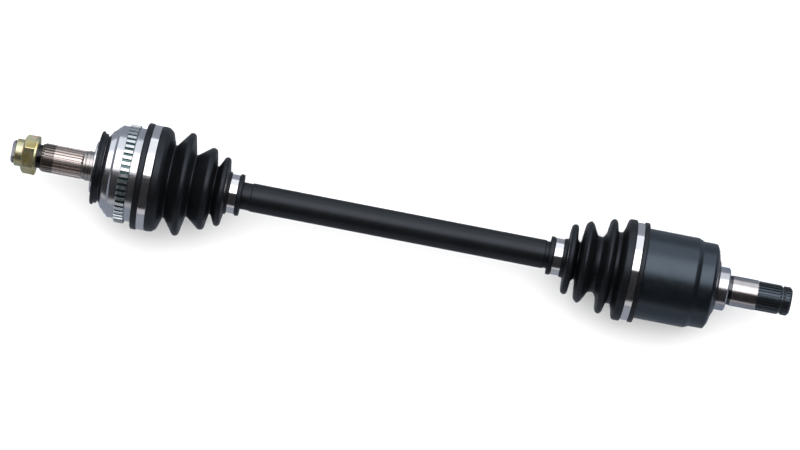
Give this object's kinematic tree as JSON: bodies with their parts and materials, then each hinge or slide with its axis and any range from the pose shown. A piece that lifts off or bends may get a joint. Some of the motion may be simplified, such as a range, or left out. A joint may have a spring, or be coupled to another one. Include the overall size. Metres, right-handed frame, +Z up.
{
  "type": "cv axle",
  "caption": "Front-wheel-drive half shaft with a ball-type fixed joint at the hub end and a plunging tripod joint at the gearbox end, both under rubber boots.",
  "frame": {"origin": "on the axle's axis, in the plane of the hub-end shoulder that seats against the wheel bearing", "axes": "+X along the axle from the hub end to the gearbox end, +Z up with the axle lying level, one tripod trunnion pointing up"},
  "size_m": [0.7289, 0.0992, 0.1002],
  "materials": {
    "ground_steel": "fine-turned and ground bare steel, light oil",
    "yellow_zinc": "yellow zinc chromate plating, slightly iridescent",
    "zinc_plate": "dull blue-green zinc plate on sintered teeth",
    "black_rubber": "satin moulded rubber",
    "black_paint": "satin black paint on forged steel",
    "band_steel": "polished stainless strip",
    "bearing_steel": "hardened and ground, greased",
    "spring_steel": "phosphated spring steel"
  },
  "bodies": {
    "outer_joint": {"outer_race_stub": "ground_steel", "hub_nut": "yellow_zinc", "dust_ring": "black_rubber", "abs_tone_ring": "zinc_plate", "hub_boot": "black_rubber", "hub_boot_large_band": "band_steel"},
    "cage_and_balls": {"ball_cage": "bearing_steel", "ball_1": "bearing_steel", "ball_2": "bearing_steel", "ball_3": "bearing_steel", "ball_4": "bearing_steel", "ball_5": "bearing_steel", "ball_6": "bearing_steel"},
    "axle_shaft": {"axle_bar": "black_paint", "inner_race": "bearing_steel", "race_snap_ring": "spring_steel", "hub_boot_small_band": "band_steel", "gearbox_boot_small_band": "band_steel", "spider": "bearing_steel", "spider_stop_ring": "spring_steel", "spider_circlip": "spring_steel", "needle_set_1": "bearing_steel", "needle_set_2": "bearing_steel", "needle_set_3": "bearing_steel", "roller_washer_1": "bearing_steel", "roller_washer_2": "bearing_steel", "roller_washer_3": "bearing_steel", "roller_clip_1": "spring_steel", "roller_clip_2": "spring_steel", "roller_clip_3": "spring_steel"},
    "tripod_roller_1": {"roller_1": "bearing_steel"},
    "tripod_roller_2": {"roller_2": "bearing_steel"},
    "tripod_roller_3": {"roller_3": "bearing_steel"},
    "inner_boot": {"gearbox_boot": "black_rubber"},
    "inner_joint": {"inner_housing": "black_paint", "gearbox_boot_large_band": "band_steel", "roller_stop_ring": "spring_steel", "stub_circlip": "spring_steel"}
  },
  "joints": [
    {"name": "outer_bend", "type": "hinge", "parent": "outer_joint", "child": "axle_shaft", "pos_m": [0.033, 0, 0], "axis": [0, 0, 1], "range_deg": [-45, 45], "deforming": ["hub_boot"]},
    {"name": "cage_tilt", "type": "hinge", "parent": "outer_joint", "child": "cage_and_balls", "pos_m": [0.033, 0, 0], "axis": [0, 0, 1], "range_deg": [-22.5, 22.5]},
    {"name": "inner_bend", "type": "hinge", "parent": "axle_shaft", "child": "inner_boot", "pos_m": [0.53775, 0, 0], "axis": [0, 0, 1], "range_deg": [-20, 20], "deforming": ["gearbox_boot"]},
    {"name": "plunge", "type": "slide", "parent": "inner_boot", "child": "inner_joint", "axis": [1, 0, 0], "range_m": [-0.01, 0.01], "deforming": ["gearbox_boot"]},
    {"name": "roller_1_spin", "type": "hinge", "parent": "axle_shaft", "child": "tripod_roller_1", "pos_m": [0.53775, 0, 0.023], "axis": [0, 0, 1], "continuous": true},
    {"name": "roller_2_spin", "type": "hinge", "parent": "axle_shaft", "child": "tripod_roller_2", "pos_m": [0.53775, -0.01992, -0.0115], "axis": [0, -0.866, -0.5], "continuous": true},
    {"name": "roller_3_spin", "type": "hinge", "parent": "axle_shaft", "child": "tripod_roller_3", "pos_m": [0.53775, 0.01992, -0.0115], "axis": [0, 0.866, -0.5], "continuous": true}
  ],
  "couplings": [
    {"joint": "cage_tilt", "follows": "outer_bend", "ratio": 0.5}
  ]
}
